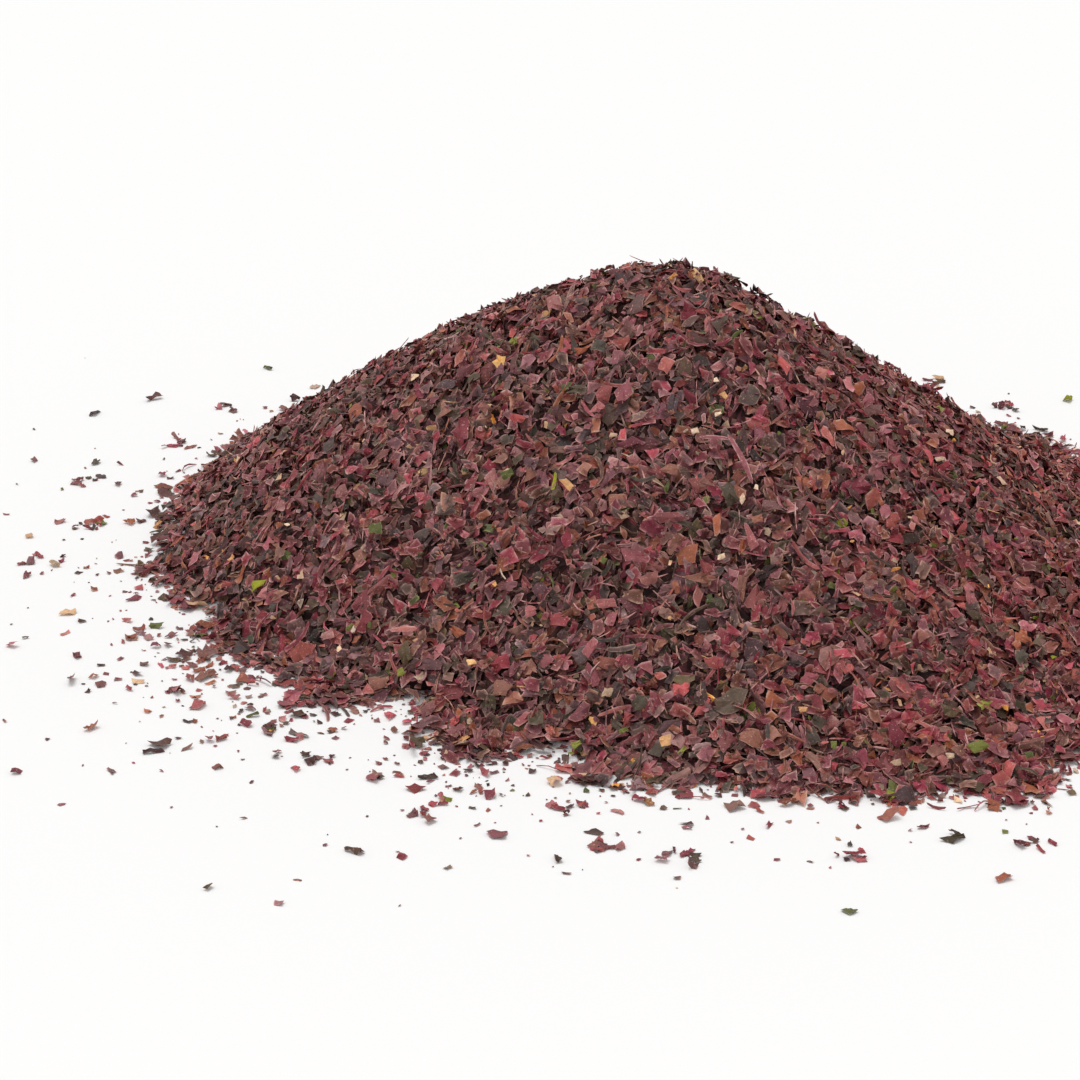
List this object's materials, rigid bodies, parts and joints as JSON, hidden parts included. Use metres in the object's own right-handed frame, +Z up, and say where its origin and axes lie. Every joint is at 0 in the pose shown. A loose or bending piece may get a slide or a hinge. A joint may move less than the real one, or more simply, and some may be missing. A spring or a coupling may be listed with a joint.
{
  "type": "heap of laver flakes",
  "caption": "Heap of dried laver seaweed flakes with an off-centre peak and loose flakes scattered round its foot.",
  "frame": {"origin": "on the surface the heap lies on, straight below its peak", "axes": "+Z up; +X to the right and +Y away from the viewer as the picture shows the heap, with its long low slope towards +X"},
  "size_m": [0.2222, 0.2091, 0.048],
  "materials": {
    "laver_maroon": "matt, brittle, faintly glossy on the flat faces",
    "laver_dark": "matt to satin, almost black where folded",
    "laver_rose": "matt, worn pale and pinkish",
    "laver_umber": "satin, warm brown",
    "laver_green": "satin, olive to bright green",
    "laver_amber": "satin, lets some light through",
    "laver_straw": "matt, pale"
  },
  "bodies": {
    "root": {"heap": "laver_maroon", "clump_01": "laver_maroon", "clump_02": "laver_dark", "clump_03": "laver_maroon", "clump_04": "laver_umber", "clump_05": "laver_maroon", "clump_06": "laver_dark", "clump_07": "laver_maroon", "clump_08": "laver_umber", "clump_09": "laver_maroon", "clump_10": "laver_dark", "clump_11": "laver_maroon", "clump_12": "laver_umber", "clump_13": "laver_maroon", "clump_14": "laver_dark", "clump_15": "laver_maroon", "clump_16": "laver_umber", "clump_17": "laver_maroon", "clump_18": "laver_dark", "clump_19": "laver_maroon", "clump_20": "laver_umber", "clump_21": "laver_maroon", "clump_22": "laver_dark", "clump_23": "laver_maroon", "clump_24": "laver_umber", "clump_25": "laver_maroon", "clump_26": "laver_dark", "loose_flake_01": "laver_maroon", "loose_flake_02": "laver_rose", "loose_flake_03": "laver_dark", "loose_flake_04": "laver_umber", "loose_flake_05": "laver_green", "loose_flake_06": "laver_amber", "loose_flake_07": "laver_dark", "loose_flake_08": "laver_straw", "loose_flake_09": "laver_maroon", "loose_flake_10": "laver_rose", "loose_flake_11": "laver_dark", "loose_flake_12": "laver_umber", "loose_flake_13": "laver_green", "loose_flake_14": "laver_amber", "loose_flake_15": "laver_dark", "loose_flake_16": "laver_straw", "loose_flake_17": "laver_maroon", "loose_flake_18": "laver_rose", "loose_flake_19": "laver_dark", "loose_flake_20": "laver_umber", "loose_flake_21": "laver_green", "loose_flake_22": "laver_amber", "loose_flake_23": "laver_dark", "loose_flake_24": "laver_straw", "loose_flake_25": "laver_maroon", "loose_flake_26": "laver_rose", "loose_flake_27": "laver_dark", "loose_flake_28": "laver_umber", "loose_flake_29": "laver_green", "loose_flake_30": "laver_amber", "loose_flake_31": "laver_dark", "loose_flake_32": "laver_straw"}
  },
  "joints": []
}
